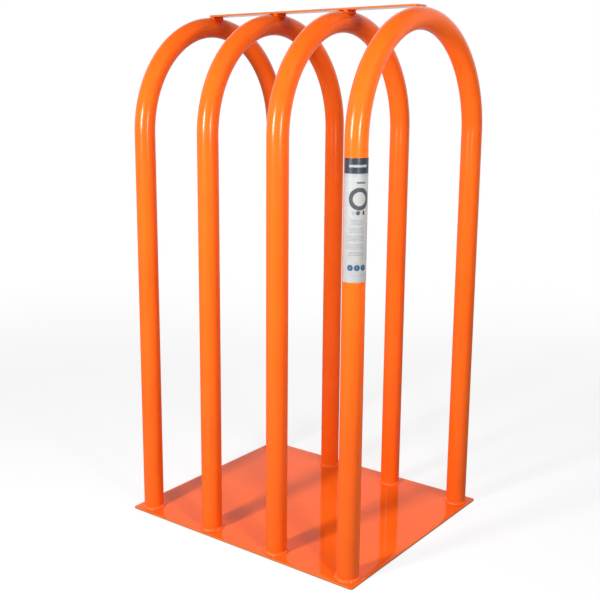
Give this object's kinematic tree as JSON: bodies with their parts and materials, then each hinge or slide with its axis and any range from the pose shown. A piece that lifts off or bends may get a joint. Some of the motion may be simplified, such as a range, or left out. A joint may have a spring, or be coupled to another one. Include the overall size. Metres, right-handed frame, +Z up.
{
  "type": "tyre inflation cage",
  "caption": "Row of bent-tube hoops welded to a flat base plate and tied by a flat bar on top, to hold a truck wheel and tyre upright while it is inflated or stored.",
  "frame": {"origin": "on the floor, under the middle of the base plate", "axes": "+X along the row of hoops, from hoop 1 to hoop 4; +Y across the hoops, from front legs to rear legs; +Z up"},
  "size_m": [0.746, 0.656, 1.3818],
  "materials": {
    "powder_coat": "gloss orange powder coat over welded steel",
    "label_film": "satin printed film, pale grey with a dark header band"
  },
  "bodies": {
    "root": {"base_plate": "powder_coat", "tie_strap": "powder_coat", "hoop_1": "powder_coat", "hoop_2": "powder_coat", "hoop_3": "powder_coat", "hoop_4": "powder_coat", "foot_weld_front_1": "powder_coat", "foot_weld_front_2": "powder_coat", "foot_weld_front_3": "powder_coat", "foot_weld_front_4": "powder_coat", "foot_weld_rear_1": "powder_coat", "foot_weld_rear_2": "powder_coat", "foot_weld_rear_3": "powder_coat", "foot_weld_rear_4": "powder_coat", "strap_weld_left_1": "powder_coat", "strap_weld_left_2": "powder_coat", "strap_weld_left_3": "powder_coat", "strap_weld_left_4": "powder_coat", "strap_weld_right_1": "powder_coat", "strap_weld_right_2": "powder_coat", "strap_weld_right_3": "powder_coat", "strap_weld_right_4": "powder_coat", "label": "label_film"}
  },
  "joints": []
}
